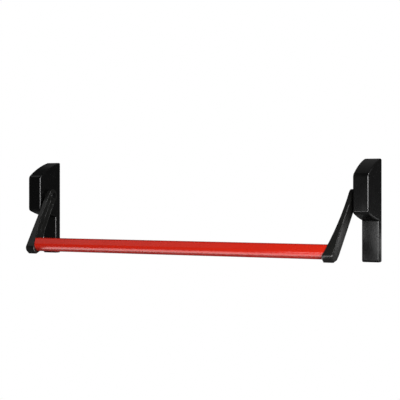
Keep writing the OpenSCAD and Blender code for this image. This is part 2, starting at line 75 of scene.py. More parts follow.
# Where most of a noise texture's values lie.
NOISE_RANGE: Point = (0.3, 0.7)
# Places closer than this, in millimetres, are taken for the same place.
NEAR = 0.05
# Points closer than this are merged, and points this close to a slicing plane lie on it.
MERGE = 0.002
ON_PLANE = 0.0005


class Side(Enum):
    """Which end of the bar a unit stands at; the value is the sign of its x in the frame."""

    ACTIVE = -1
    IDLE = 1

    @property
    def label(self) -> str:
        """The word that starts the names of the unit's nodes."""
        return self.name.lower()


class Cut(Enum):
    """How one closed solid changes another."""

    REMOVE = "DIFFERENCE"
    ADD = "UNION"
    KEEP = "INTERSECT"


# ---- colour and nodes ----------------------------------------------------------------------


def linear(hex_colour: str) -> tuple[float, float, float, float]:
    """Turns an sRGB hex colour into linear RGBA.

    Args:
        hex_colour: six hex digits after a hash, such as "#c8321f".

    Returns:
        Linear red, green, blue and an alpha of 1.
    """
    parts = [int(hex_colour[i : i + 2], 16) / 255 for i in (1, 3, 5)]
    lin = [c / 12.92 if c <= 0.04045 else ((c + 0.055) / 1.055) ** 2.4 for c in parts]
    return (lin[0], lin[1], lin[2], 1.0)


def add_node(
    tree: bpy.types.NodeTree,
    kind: str,
    settings: dict[str, object] | None = None,
    inputs: dict[str | int, object] | None = None,
) -> bpy.types.Node:
    """Adds a node, sets its properties and fills or links its inputs.

    Args:
        tree: the node tree to add to.
        kind: the node's type name.
        settings: property names and values.
        inputs: input names or numbers, each with a value or an output socket to link from.

    Returns:
        The new node.
    """
    node = tree.nodes.new(kind)
    for name, value in (settings or {}).items():
        setattr(node, name, value)
    for name, value in (inputs or {}).items():
        if isinstance(value, bpy.types.NodeSocket):
            tree.links.new(value, node.inputs[name])
        else:
            node.inputs[name].default_value = value
    return node


@dataclass(frozen=True)
class Finish:
    """A surface: two close colours and a gloss that drift slowly, under a fine relief.

    Attributes:
        name: the maker's name for the finish.
        colour: main colour.
        tint: second colour, which drifts in over drift_mm.
        metallic: 1 for bare metal, 0 for paint, plastic and rubber.
        roughness: middle of the roughness range.
        spread: how far the roughness wanders each way.
        grain_mm: size of the relief's grains.
        relief: strength of the relief.
        drift_mm: size of the slow changes of colour and gloss.
        specular: specular level, for what isn't metal.
        brushed: how far the grain is drawn out along z, 1 for not at all.
    """

    name: str
    colour: str
    tint: str
    metallic: float = 0.0
    roughness: float = 0.4
    spread: float = 0.04
    grain_mm: float = 1.0
    relief: float = 0.1
    drift_mm: float = 30.0
    specular: float = 0.5
    brushed: float = 1.0

    def material(self) -> bpy.types.Material:
        """Builds the finish as a node material, once.

        Returns:
            The material, new or already built.
        """
        known = bpy.data.materials.get(self.name)
        if known:
            return known
        made = bpy.data.materials.new(self.name)
        made.use_nodes = True
        tree = made.node_tree
        tree.nodes.clear()
        place = add_node(tree, "ShaderNodeTexCoord").outputs["Object"]
        drawn = add_node(
            tree,
            "ShaderNodeMapping",
            inputs={"Vector": place, "Scale": (1.0, 1.0, 1.0 / self.brushed)},
        )
        slow = add_node(
            tree,
            "ShaderNodeTexNoise",
            inputs={"Vector": place, "Scale": 1 / (self.drift_mm * MM), "Detail": 3.0},
        )
        fine = add_node(
            tree,
            "ShaderNodeTexNoise",
            inputs={
                "Vector": drawn.outputs[0],
                "Scale": 1 / (self.grain_mm * MM),
                "Detail": 2.0,
                "Roughness": 0.6,
            },
        )
        colour = add_node(
            tree,
            "ShaderNodeMix",
            {"data_type": "RGBA"},
            {0: slow.outputs["Fac"], 6: linear(self.colour), 7: linear(self.tint)},
        )
        gloss = add_node(
            tree,
            "ShaderNodeMapRange",
            inputs={
                "Value": slow.outputs["Fac"],
                "From Min": NOISE_RANGE[0],
                "From Max": NOISE_RANGE[1],
                "To Min": self.roughness - self.spread,
                "To Max": self.roughness + self.spread,
            },
        )
        bump = add_node(
            tree,
            "ShaderNodeBump",
            inputs={
                "Height": fine.outputs["Fac"],
                "Strength": self.relief,
                "Distance": 0.1 * self.grain_mm * MM,
            },
        )
        shader = add_node(
            tree,
            "ShaderNodeBsdfPrincipled",
            inputs={
                "Base Color": colour.outputs[2],
                "Roughness": gloss.outputs[0],
                "Normal": bump.outputs[0],
                "Metallic": self.metallic,
                "Specular IOR Level": self.specular,
            },
        )
        add_node(tree, "ShaderNodeOutputMaterial", inputs={"Surface": shader.outputs[0]})
        return made


# Polyester powder coat on steel tube: satin, with the soft orange peel of cured powder.
RED_PAINT = Finish(
    "red_powder_coat", "#c4220f", "#b81d0d", roughness=0.27, grain_mm=1.6, relief=0.02, drift_mm=60
)
# Powder coat on a zinc die casting: satin black, a little duller than the moulded nylon.
BLACK_PAINT = Finish(
    "black_powder_coat", "#131312", "#161615", roughness=0.3, grain_mm=1.4, relief=0.03,
    specular=0.45,
)
# Glass-filled nylon: satin black with an even fine texture. The real grain is about 0.1 mm, too
# fine to show, so it is drawn at 0.8 mm.
BLACK_NYLON = Finish(
    "black_moulded_nylon", "#060606", "#080808", roughness=0.26, grain_mm=0.8, relief=0.03,
    specular=0.4,
)
# The same nylon in a lighter black, to look as light as the cast arm that it closes.
CAP_NYLON = replace(BLACK_NYLON, name="smooth_moulded_nylon", colour="#171716", tint="#1a1a19")
# Zinc-plated pressed steel: pale, slightly blue and cloudy.
ZINC_PLATE = Finish(
    "zinc_plated_steel", "#a9adb2", "#9a9fa6", metallic=1.0, roughness=0.42, spread=0.08,
    grain_mm=2.0, relief=0.06, drift_mm=9,
)
# Turned free-cutting steel: bright, with the fine drawn marks of the tool.
BRIGHT_STEEL = Finish(
    "bright_turned_steel", "#b9bbbe", "#adb0b4", metallic=1.0, roughness=0.28, spread=0.06,
    grain_mm=0.6, relief=0.10, brushed=6.0, drift_mm=12,
)
# Nickel-plated bolt, polished by sliding.
NICKEL = Finish(
    "nickel_plated_steel", "#c3c1bb", "#b8b5ae", metallic=1.0, roughness=0.2, spread=0.05,
    grain_mm=0.7, relief=0.06, brushed=8.0, drift_mm=15,
)
# Oiled music wire: dark, with a long drawn grain.
SPRING_WIRE = Finish(
    "oiled_spring_wire", "#6c6e72", "#5b5d61", metallic=1.0, roughness=0.35, spread=0.05,
    grain_mm=0.5, relief=0.08, drift_mm=6,
)
# Blackened steel screw.
BLACK_STEEL = Finish(
    "blackened_steel", "#3a3b3d", "#303133", metallic=1.0, roughness=0.34, spread=0.05,
    grain_mm=0.5, relief=0.10, drift_mm=4,
)
# Acetal, natural: milky and slippery.
ACETAL = Finish(
    "natural_acetal", "#e2ded2", "#dbd6c8", roughness=0.38, grain_mm=1.2, relief=0.05, drift_mm=10
)
# Moulded black rubber: dull.
RUBBER = Finish(
    "black_rubber", "#1b1b1b", "#212120", roughness=0.75, grain_mm=0.6, relief=0.2, drift_mm=6,
    specular=0.35,
)

SLOT_FINISHES: dict[str, Finish] = {
    "red_paint": RED_PAINT,
    "black_cover": BLACK_NYLON,
    "black_arm": BLACK_PAINT,
    "black_cap": CAP_NYLON,
    "bearing_plastic": ACETAL,
    "buffer_rubber": RUBBER,
    "plug_plastic": BLACK_NYLON,
    "zinc_plate": ZINC_PLATE,
    "spring_wire": SPRING_WIRE,
    "bolt_chrome": NICKEL,
    "screw_black": BLACK_STEEL,
    "bright_steel": BRIGHT_STEEL,
}


# ---- shapes --------------------------------------------------------------------------------


def bowed(start: Point, end: Point, rise: float, steps: int = 16) -> list[Point]:
    """Points on a shallow curve between two points, the first point left out.

    Args:
        start: where the curve begins.
        end: where it ends.
        rise: how far its middle stands to the right of the straight line.
        steps: number of stretches.

    Returns:
        The points after the first, as (depth, z) pairs.
    """
    a, b = Vector(start), Vector(end)
    right = Vector((b.y - a.y, a.x - b.x)).normalized()
    points = []
    for i in range(1, steps + 1):
        t = i / steps
        points.append(tuple(a.lerp(b, t) + right * rise * 4 * t * (1 - t)))
    return points


def arc(centre: Point, radius: float, start: float, end: float, steps: int) -> list[Point]:
    """Points along an arc, both ends included.

    Args:
        centre: the arc's centre.
        radius: its radius.
        start: angle of its first point, in degrees, from the depth axis towards z.
        end: angle of its last point.
        steps: number of stretches.

    Returns:
        The points, as (depth, z) pairs.
    """
    angles = [math.radians(start + (end - start) * i / steps) for i in range(steps + 1)]
    return [(centre[0] + radius * math.cos(a), centre[1] + radius * math.sin(a)) for a in angles]


def tube_outline(
    centre: Point, grow: float, width: float = 23.0, height: float = 27.0, radius: float = 8.5
) -> list[Point]:
    """The oval tube's outline: flats joined by four arcs.

    Args:
        centre: where its middle lies.
        grow: how far the outline stands outside the tube's own.
        width: its short side.
        height: its long side.
        radius: its corner radius.

    Returns:
        The outline's points.
    """
    points = []
    dx, dz, r = width / 2 - radius, height / 2 - radius, radius + grow
    for i, (sx, sz) in enumerate(((1, 1), (-1, 1), (-1, -1), (1, -1))):
        corner = (centre[0] + sx * dx, centre[1] + sz * dz)
        points += arc(corner, r, 90 * i, 90 * (i + 1), 16)
    return points


def prism(outline: Sequence[Point], low: float, high: float) -> BMesh:
    """A solid from a side outline, extruded along x.

    Args:
        outline: (depth, z) pairs, where depth grows towards the user.
        low: lower x.
        high: higher x.

    Returns:
        A closed mesh with its faces outwards.
    """
    bm = bmesh.new()
    face = bm.faces.new([bm.verts.new((low, -depth, z)) for depth, z in outline])
    made = bmesh.ops.extrude_face_region(bm, geom=[face], use_keep_orig=True)
    moved = [v for v in made["geom"] if isinstance(v, BMVert)]
    bmesh.ops.translate(bm, verts=moved, vec=(high - low, 0, 0))
    bmesh.ops.recalc_face_normals(bm, faces=bm.faces)
    return bm


def rod(radius: float, low: float, high: float, depth: float, z: float, sides: int = 64) -> BMesh:
    """A round bar along x.

    Args:
        radius: its radius.
        low: lower x.
        high: higher x.
        depth: where its axis lies in front of the door, or of the arm's centre line.
        z: height of its axis.
        sides: number of flats that stand for the round.

    Returns:
        A mesh closed at both ends.
    """
    bm = bmesh.new()
    turned = Matrix.Translation(((low + high) / 2, -depth, z)) @ Matrix.Rotation(math.pi / 2, 4, "Y")
    bmesh.ops.create_cone(
        bm, cap_ends=True, segments=sides, radius1=radius, radius2=radius, depth=high - low,
        matrix=turned,
    )
    return bm


def soften(
    bm: BMesh, edges: Sequence[BMEdge], width: float, segments: int = 4, clamp: bool = True
) -> None:
    """Rounds the given edges.

    Args:
        bm: the mesh.
        edges: the edges to round.
        width: the radius, for a right-angled edge.
        segments: facets across the rounding.
        clamp: whether short neighbours may make the rounding smaller.
    """
    bmesh.ops.bevel(
        bm, geom=list(edges), offset=width, segments=segments, profile=0.5, material=-1,
        affect="EDGES", clamp_overlap=clamp,
    )


def across(bm: BMesh, depth: float, z: float) -> list[BMEdge]:
    """Finds the edges that run along x at a place in the side outline.

    Args:
        bm: the mesh.
        depth: depth of the place.
        z: its height.

    Returns:
        The edges.
    """
    spot = Vector((0, -depth, z))
    found = []
    for e in bm.edges:
        a, b = e.verts[0].co, e.verts[1].co
        if abs((b - a).normalized().x) > 0.99 and (Vector((0, a.y, a.z)) - spot).length < NEAR:
            found.append(e)
    return found


def at_end(bm: BMesh, x: float) -> list[BMEdge]:
    """Finds the edges that lie wholly at one x, such as the rim of a rod's end.

    Args:
        bm: the mesh.
        x: the place.

    Returns:
        The edges.
    """
    return [e for e in bm.edges if all(abs(v.co.x - x) < NEAR for v in e.verts)]


def slice_faces(
    bm: BMesh, place: tuple[float, float, float], normal: tuple[float, float, float]
) -> None:
    """Splits the faces that a plane crosses, and takes nothing away.

    Args:
        bm: the mesh.
        place: a point of the plane.
        normal: the way the plane faces.
    """
    geom = bm.verts[:] + bm.edges[:] + bm.faces[:]
    bmesh.ops.bisect_plane(bm, geom=geom, dist=ON_PLANE, plane_co=place, plane_no=normal)


def rims(bm: BMesh, keep: Callable[[BMEdge], bool] = lambda e: True) -> list[BMEdge]:
    """Finds the edges where a flank, which looks mostly along x, meets a face that doesn't.

    Args:
        bm: the mesh.
        keep: says whether an edge is wanted.

    Returns:
        The edges.
    """

    def flank(f: BMFace) -> bool:
        """Whether a face looks mostly along x."""
        return abs(f.normal.x) > 0.8

    bm.normal_update()
    return [
        e
        for e in bm.edges
        if len(e.link_faces) == 2 and flank(e.link_faces[0]) != flank(e.link_faces[1]) and keep(e)
    ]


def combine(bm: BMesh, tool: BMesh, how: Cut) -> BMesh:
    """Cuts one closed solid out of another, or joins the two.

    Args:
        bm: the solid to change; it is freed.
        tool: the other solid; it is freed.
        how: what to do with it.

    Returns:
        The new solid.
    """
    pair = []
    for solid in (bm, tool):
        mesh = bpy.data.meshes.new("solid")
        solid.to_mesh(mesh)
        solid.free()
        thing = bpy.data.objects.new("solid", mesh)
        bpy.context.scene.collection.objects.link(thing)
        pair.append(thing)
    step = pair[0].modifiers.new("step", "BOOLEAN")
    step.object = pair[1]
    step.operation = how.value
    step.solver = "EXACT"
    graph = bpy.context.evaluated_depsgraph_get()
    result = bpy.data.meshes.new_from_object(pair[0].evaluated_get(graph))
    out = bmesh.new()
    out.from_mesh(result)
    bpy.data.meshes.remove(result)
    for thing in pair:
        mesh = thing.data
        bpy.data.objects.remove(thing)
        bpy.data.meshes.remove(mesh)
    bmesh.ops.remove_doubles(out, verts=out.verts, dist=MERGE)
    return out


# ---- placing -------------------------------------------------------------------------------


@dataclass
class Unit:
    """One door unit's place: its own millimetres to the frame's metres.

    Attributes:
        side: which end of the bar it stands at.
        spacing: distance from the middle of the bar to the unit's centre.
        pivot: depth and height of the arms' pivot axis.
        tilt: how far the arms lean out at rest, in degrees.
    """

    side: Side
    spacing: float
    pivot: Point
    tilt: float = 38.3

    @classmethod
    def from_frame(cls, side: Side) -> Unit:
        """Reads a unit's place from its base plate and the bar's joint.

        Args:
            side: which end of the bar.

        Returns:
            The unit.
        """
        low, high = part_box(f"{side.label}_base_plate")
        hinge = next(j for j in frame["joints"] if j["name"] == "bar_push")["pos_m"]
        middle = abs(low.x + high.x) / 2
        return cls(side, middle / MM, (-hinge[1] / MM, hinge[2] / MM))

    def matrix(self, on_arm: bool) -> Matrix:
        """The move from a unit's own frame to the object's.

        Args:
            on_arm: whether to start from the hanging arm's frame instead.

        Returns:
            The matrix, which also turns millimetres to metres.
        """
        place = Matrix.Diagonal((self.side.value, 1, 1, 1)) @ Matrix.Translation((self.spacing, 0, 0))
        if on_arm:
            place = (
                place
                @ Matrix.Translation((0, -self.pivot[0], self.pivot[1]))
                @ Matrix.Rotation(math.radians(-self.tilt), 4, "X")
            )
        return Matrix.Diagonal((MM, MM, MM, 1)) @ place

    def finish(
        self,
        bm: BMesh,
        name: str,
        body: str,
        slot: str,
        on_arm: bool = False,
        stands_for: str | None = None,
        smooth_deg: float = 32.0,
        bend: Point | None = None,
    ) -> bpy.types.Object:
        """Places a mesh, shades and dresses it, and, unless bend is given, parents it to its body.

        Args:
            bm: the mesh in the unit's or the arm's own frame; it is freed.
            name: the piece's name.
            body: the CAD body it rides on.
            slot: the record's material slot.
            on_arm: whether it was modelled hanging from the pivot.
            stands_for: the CAD node it replaces.
            smooth_deg: edges sharper than this stay sharp.
            bend: for a spring between the housing and the body; only whether it is given is read, and then the
                piece is left in place on no body.

        Returns:
            The finished piece.
        """
        bmesh.ops.transform(bm, matrix=self.matrix(on_arm), verts=bm.verts)
        if self.side is Side.ACTIVE:
            bmesh.ops.reverse_faces(bm, faces=bm.faces)
        bm.normal_update()
        for face in bm.faces:
            face.smooth = True
        for edge in bm.edges:
            edge.smooth = not (
                len(edge.link_faces) == 2
                and edge.calc_face_angle(0.0) > math.radians(smooth_deg)
            )
        mesh = bpy.data.meshes.new(name)
        bm.to_mesh(mesh)
        bm.free()
        piece = bpy.data.objects.new(name, mesh)
        bpy.context.scene.collection.objects.link(piece)
        flatten = piece.modifiers.new("even_shading", "WEIGHTED_NORMAL")
        flatten.keep_sharp = True
        mesh.materials.append(SLOT_FINISHES[slot].material())
        if bend:
            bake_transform(piece)
        else:
            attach(piece, body)
        if stands_for:
            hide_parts(stands_for)
        log.info("%s: %d faces, rides on %s", name, len(mesh.polygons), body)
        return piece


# ---- sub-assemblies ------------------------------------------------------------------------

# Distances along an arm at which its flanks are bent to their curves.
ARM_STATIONS = range(-12, 156, 6)
# Where solids that cut into an arm's inner or outer face end: x values clear of those faces.
PAST_INNER = -70.0
PAST_OUTER = -15.0
# How far a cutting outline stands clear of the arm's own.
CLEAR = 5.0


@dataclass
class Cover:
    """A unit's hollow cover: a deep box above, a slim part below, open at the door.

    Attributes:
        unit: the unit that it covers.
        height: overall height.
        base_width: width at the door.
        depth: depth of the box.
        front_width: width at the front of the box.
        slim_depth: depth of the lower part.
        belly_z: height at which the belly leaves the lower part.
        front_low: lower end of the box's front.
        front_high: upper end of the box's front.
        belly_bow: how far the belly bulges.
        brow_bow: how far the curved top bulges.
        wall: thickness of the walls.
        edge: rounding along both flanks.
        corner: rounding of the corners of the side outline.
        nook: rounding under the belly, where it meets the lower part.
        shaft_hole: radius of the hole for the pivot shaft.
        window_depth: range of depth of the latch's window.
        window_z: range of height of the window.
        window_corner: the window's corner radius.
    """

    unit: Unit
    height: float
    base_width: float
    depth: float
    front_width: float = 32.0
    slim_depth: float = 15.4
    belly_z: float = -20.0
    front_low: float = -5.0
    front_high: float = 69.6
    belly_bow: float = 1.3
    brow_bow: float = 3.8
    wall: float = 2.0
    edge: float = 3.4
    corner: float = 4.5
    nook: float = 1.2
    shaft_hole: float = 6.0
    window_depth: Point = (8.5, 25.5)
    window_z: Point = (50.2, 74.2)
    window_corner: float = 1.0

    @classmethod
    def from_frame(cls, unit: Unit) -> Cover:
        """Reads the overall sizes from the unit's CAD cover.

        Args:
            unit: the unit.

        Returns:
            The cover.
        """
        low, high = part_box(f"{unit.side.label}_cover")
        size = (high - low) / MM
        return cls(unit, height=size.z, base_width=size.x, depth=size.y)

    def outline(self, inside: float = 0.0) -> list[Point]:
        """The side outline, from the lower rear corner round to the upper one.

        Args:
            inside: how far it stands inside the cover's skin; if more than 0, it runs out past
                the door.

        Returns:
            The outline's points.
        """
        half, slim, front = self.height / 2 - inside, self.slim_depth - inside, self.depth - inside
        belly, low, high = self.belly_z + inside, self.front_low + inside, self.front_high - inside / 2
        door = -inside
        return [
            (door, -half),
            (slim, -half),
            (slim, belly),
            *bowed((slim, belly), (front, low), self.belly_bow, 8),
            (front, high),
            *bowed((front, high), (door, half), self.brow_bow),
        ]

    def taper(self, bm: BMesh) -> None:
        """Narrows a solid towards the front, about the unit's centre.

        Args:
            bm: the solid.
        """
        lost = 1 - self.front_width / self.base_width
        for v in bm.verts:
            v.co.x *= 1 - lost * -v.co.y / self.depth

    def shell(self) -> BMesh:
        """The closed form with rounded edges, tapered, and hollowed from the door side.

        Returns:
            The hollow solid.
        """
        half = self.base_width / 2
        bm = prism(self.outline(), -half, half)
        soften(bm, across(bm, self.depth, self.front_high), self.corner)
        soften(bm, across(bm, self.depth, self.front_low), self.corner)
        soften(bm, across(bm, self.slim_depth, -self.height / 2), self.corner)
        soften(bm, across(bm, self.slim_depth, self.belly_z), self.nook, 3)

        def off_door(e: BMEdge) -> bool:
            """Whether an edge stands off the door, at least at one end."""
            return max(abs(v.co.y) for v in e.verts) > NEAR

        soften(bm, rims(bm, off_door), self.edge, 5, clamp=False)
        self.taper(bm)
        room = prism(self.outline(self.wall), self.wall - half, half - self.wall)
        self.taper(room)
        return combine(bm, room, Cut.REMOVE)

    def window(self) -> BMesh:
        """The solid that cuts the latch's window through the outer flank.

        Returns:
            A block with rounded corners.
        """
        (near, far), (low, high) = self.window_depth, self.window_z
        corners = [(near, low), (far, low), (far, high), (near, high)]
        bm = prism(corners, self.base_width / 4, self.base_width)
        for depth, z in corners:
            soften(bm, across(bm, depth, z), self.window_corner, 3)
        return bm

    def build(self) -> bpy.types.Object:
        """Makes the cover, with the shaft's hole and, on the active unit, the latch's window.

        Returns:
            The finished cover.
        """
        hole = rod(self.shaft_hole, -self.base_width, 0, *self.unit.pivot)
        bm = combine(self.shell(), hole, Cut.REMOVE)
        if self.unit.side is Side.ACTIVE:
            bm = combine(bm, self.window(), Cut.REMOVE)
        label = self.unit.side.label
        return self.unit.finish(
            bm, f"{label}_cover_shell", "door_units", "black_cover", stands_for=f"{label}_cover"
        )


@dataclass
class Arm:
    """A cast arm, hanging from its pivot.

    Along the arm, s is the distance below the pivot, and t is the depth in front of the arm's
    centre line.

    Attributes:
        unit: the unit that it hangs from.
        radius: half of the arm's depth, which is also the radius of its top.
        length: from the pivot to the lowest point.
        heel: the long chamfer behind the lower end, as (t, height above the lowest point).
        toe_radius: the round corner in front of the lower end.
        outer: x of the outer face at the pivot, and how much it falls with each mm of s.
        inner: the same for the inner face, with how fast the fall itself grows.
        edge: rounding along both flanks.
        boss_radius: radius of the boss round the hub screw.
        boss_x: range of x of the boss.
        boss_edge: rounding of the boss.
        recess_radius: radius of the recess in the boss.
        recess_floor: x of the recess's floor.
        pocket_s: where the two sunk panels begin and end.
        pocket_t: how far each panel's sides stand from the centre line.
        pocket_deep: how deep the panels are.
        pocket_corner: the panels' corner radius.
        pocket_edge: rounding of their rims.
        cap_centre: s of the centre of the cap's round top.
        cap_thick: depth of the cap's seat.
        cap_lift: how far the cap stands off the seat's floor.
        cap_gap: how far the cap's round top stands inside its seat.
        bar_centre: (t, -s) of the bar's axis.
        bar_end: x of the bar's end inside the arm.
        bar_gap: gap round the bar in its socket.
        screw_radius: radius of the hub screw's head.
        screw_top: x of the head's face.
        screw_edge: rounding of the head.
        socket_radius: the hexagon socket's radius, over its corners.
        socket_floor: x of the socket's floor.
        shank_radius: radius of the screw's shank.
        shank_x: range of x of the shank, which starts inside the head.
    """

    unit: Unit
    radius: float = 14.5
    length: float = 154.7
    heel: tuple[Point, ...] = ((-14.5, 25.0), (-12.4, 12.0), (-3.0, 0.0))
    toe_radius: float = 8.5
    outer: tuple[float, float] = (-20.5, 0.0613)
    inner: tuple[float, float, float] = (-30.2, 0.03, 0.00072)
    edge: float = 1.9
    boss_radius: float = 9.5
    boss_x: Point = (-32.4, -29.0)
    boss_edge: float = 0.9
    recess_radius: float = 6.5
    recess_floor: float = -28.2
    pocket_s: Point = (15.0, 108.0)
    pocket_t: Point = (2.0, 11.0)
    pocket_deep: float = 2.0
    pocket_corner: float = 3.0
    pocket_edge: float = 1.2
    cap_centre: float = 130.0
    cap_thick: float = 6.5
    cap_lift: float = 0.05
    cap_gap: float = 0.2
    bar_centre: Point = (1.7, -133.5)
    bar_end: float = -40.2
    bar_gap: float = 0.15
    screw_radius: float = 4.6
    screw_top: float = -31.0
    screw_edge: float = 0.6
    socket_radius: float = 2.5
    socket_floor: float = -29.4
    shank_radius: float = 2.4
    shank_x: Point = (-28.6, -15.0)

    def outer_x(self, s: float) -> float:
        """The outer face's x."""
        start, fall = self.outer
        return start - fall * max(s, 0.0)

    def inner_x(self, s: float) -> float:
        """The inner face's x: the arm flares towards the bar.

        Args:
            s: the distance along the arm.

        Returns:
            The x.
        """
        start, fall, growth = self.inner
        s = max(s, 0.0)
        return start - fall * s - growth * s * s

    def outline(self) -> list[Point]:
        """The side outline of the whole arm, hanging down.

        Returns:
            The outline's points, from the front of the round top backwards and down.
        """
        toe = (self.radius - self.toe_radius, self.toe_radius - self.length)
        return [
            *arc((0, 0), self.radius, 0, 180, 32),
            *((t, up - self.length) for t, up in self.heel),
            *arc(toe, self.toe_radius, -90, 0, 8),
        ]

    def cap_region(self, gap: float) -> list[Point]:
        """The side outline of the cap's place: a round top, open past the arm's lower end.

        Args:
            gap: how far inside its seat the round top stands.

        Returns:
            The outline's points.
        """
        low, wide = -self.length - CLEAR, self.radius + CLEAR
        return [
            *arc((0, -self.cap_centre), self.radius - gap, 0, 180, 40),
            (-wide, -self.cap_centre),
            (-wide, low),
            (wide, low),
            (wide, -self.cap_centre),
        ]

    def flared(
        self,
        outline: Sequence[Point],
        outer: Callable[[float], float],
        inner: Callable[[float], float],
    ) -> BMesh:
        """A solid from an outline whose two flanks follow curves of s.

        Args:
            outline: the side outline, hanging down.
            outer: gives the outer face's x at a distance s.
            inner: gives the inner face's x at a distance s.

        Returns:
            The closed solid.
        """
        bm = prism(outline, -1.0, 0.0)
        for s in ARM_STATIONS:
            slice_faces(bm, (0, 0, -s), (0, 0, 1))
        for v in bm.verts:
            v.co.x = outer(-v.co.z) if v.co.x > -0.5 else inner(-v.co.z)
        return bm

    def panel_outline(self, sign: int) -> list[Point]:
        """The side outline of one sunk panel, a rectangle with round corners.

        Args:
            sign: 1 for the panel in front of the rib and -1 for the one behind it.

        Returns:
            The outline's points.
        """
        (near, far), (top, bottom), r = self.pocket_t, self.pocket_s, self.pocket_corner
        corners = [(far, top, 0), (near, top, 90), (near, bottom, 180), (far, bottom, 270)]
        outline = []
        for t, s, turn in corners:
            centre = (t + (r if t == near else -r), -s + (r if s == bottom else -r))
            outline += arc(centre, r, turn, turn + 90, 6)
        return outline if sign > 0 else [(-t, z) for t, z in reversed(outline)]

    def sink_panels(self, bm: BMesh) -> BMesh:
        """Sinks two long panels into the inner face and leaves a round rib between them.

        Args:
            bm: the arm's solid; it is freed.

        Returns:
            The solid with both panels.
        """
        for sign in (-1, 1):
            tool = self.flared(
                self.panel_outline(sign),
                lambda s: self.inner_x(s) + self.pocket_deep,
                lambda s: PAST_INNER,
            )
            bm = combine(bm, tool, Cut.REMOVE)
        soften(bm, rims(bm, self.on_panel_rim), self.pocket_edge, 4, clamp=False)
        return bm

    def on_panel_rim(self, e: BMEdge) -> bool:
        """Whether an edge is part of a panel's border, on the inner face.

        Args:
            e: the edge.

        Returns:
            True if both its ends are.
        """
        (near, far), (top, bottom), slack = self.pocket_t, self.pocket_s, 0.1
        return all(
            top - slack <= -v.co.z <= bottom + slack
            and near - slack <= abs(v.co.y) <= far + slack
            and v.co.x < self.inner_x(-v.co.z) + 3 * slack
            for v in e.verts
        )

    def build_arm(self) -> bpy.types.Object:
        """Makes the casting, with its boss, panels, cap seat and socket for the bar.

        Returns:
            The finished arm.
        """
        bm = self.flared(self.outline(), self.outer_x, self.inner_x)
        soften(bm, rims(bm), self.edge, 4, clamp=False)
        bm = self.sink_panels(bm)
        boss = rod(self.boss_radius, *self.boss_x, 0, 0)
        soften(boss, at_end(boss, self.boss_x[0]), self.boss_edge, 4)
        bm = combine(bm, boss, Cut.ADD)
        bm = combine(bm, rod(self.recess_radius, PAST_INNER, self.recess_floor, 0, 0), Cut.REMOVE)
        seat = self.flared(
            self.cap_region(0.0), lambda s: PAST_OUTER, lambda s: self.outer_x(s) - self.cap_thick
        )
        bm = combine(bm, seat, Cut.REMOVE)
        socket = prism(tube_outline(self.bar_centre, self.bar_gap), PAST_INNER, self.bar_end)
        bm = combine(bm, socket, Cut.REMOVE)
        label = self.unit.side.label
        return self.unit.finish(
            bm, f"{label}_cast_arm", "bar_and_arms", "black_arm", True, f"{label}_arm"
        )

    def build_cap(self) -> bpy.types.Object:
        """Makes the moulded cap that closes the arm's lower end, flush with its rounded edges.

        Returns:
            The finished cap.
        """
        bm = self.flared(
            self.outline(), self.outer_x, lambda s: self.outer_x(s) - self.cap_thick + self.cap_lift
        )

        def on_outside(e: BMEdge) -> bool:
            """Whether an edge lies on the outer face."""
            return all(v.co.x > self.outer_x(-v.co.z) - self.cap_thick / 2 for v in e.verts)

        soften(bm, rims(bm, on_outside), self.edge, 4, clamp=False)
        bm = combine(bm, prism(self.cap_region(self.cap_gap), PAST_INNER, PAST_OUTER), Cut.KEEP)
        label = self.unit.side.label
        return self.unit.finish(
            bm, f"{label}_end_cap", "bar_and_arms", "black_cap", True, f"{label}_arm_cap"
        )

    def build_screw(self) -> bpy.types.Object:
        """Makes the hub screw: a low round head with a hexagon socket, and its shank.

        Returns:
            The finished screw.
        """
        bm = rod(self.screw_radius, self.screw_top, self.recess_floor, 0, 0, 48)
        soften(bm, at_end(bm, self.screw_top), self.screw_edge, 3)
        socket = rod(self.socket_radius, PAST_INNER, self.socket_floor, 0, 0, 6)
        bm = combine(bm, socket, Cut.REMOVE)
        bm = combine(bm, rod(self.shank_radius, *self.shank_x, 0, 0, 32), Cut.ADD)
        label = self.unit.side.label
        return self.unit.finish(
            bm, f"{label}_hub_socket_screw", "bar_and_arms", "screw_black", True, f"{label}_hub_screw"
        )


@dataclass
class PushBar:
    """The painted tube between the two arms.

    Attributes:
        unit: the unit that the tube is measured from.
        arm: that unit's arm, which says where the tube lies and ends.
        wall: thickness of the tube.
        stretches: how many lengths the long flats are split into.
    """

    unit: Unit
    arm: Arm
    wall: float = 1.5
    stretches: int = 4

    def build(self) -> bpy.types.Object:
        """Extrudes the oval, opens its ends and gives it its wall.

        Returns:
            The finished tube.
        """
        unit, near = self.unit, self.arm.bar_end
        bm = prism(tube_outline(self.arm.bar_centre, 0.0), -2 * unit.spacing - near, near)
        ends = [f for f in bm.faces if abs(f.normal.x) > 0.9]
        bmesh.ops.delete(bm, geom=ends, context="FACES_ONLY")
        for i in range(1, self.stretches):
            slice_faces(bm, (-2 * unit.spacing * i / self.stretches, 0, 0), (1, 0, 0))
        bmesh.ops.recalc_face_normals(bm, faces=bm.faces)
        bmesh.ops.solidify(bm, geom=bm.faces[:], thickness=self.wall)
        return unit.finish(bm, "painted_push_bar", "bar_and_arms", "red_paint", True, "push_bar")


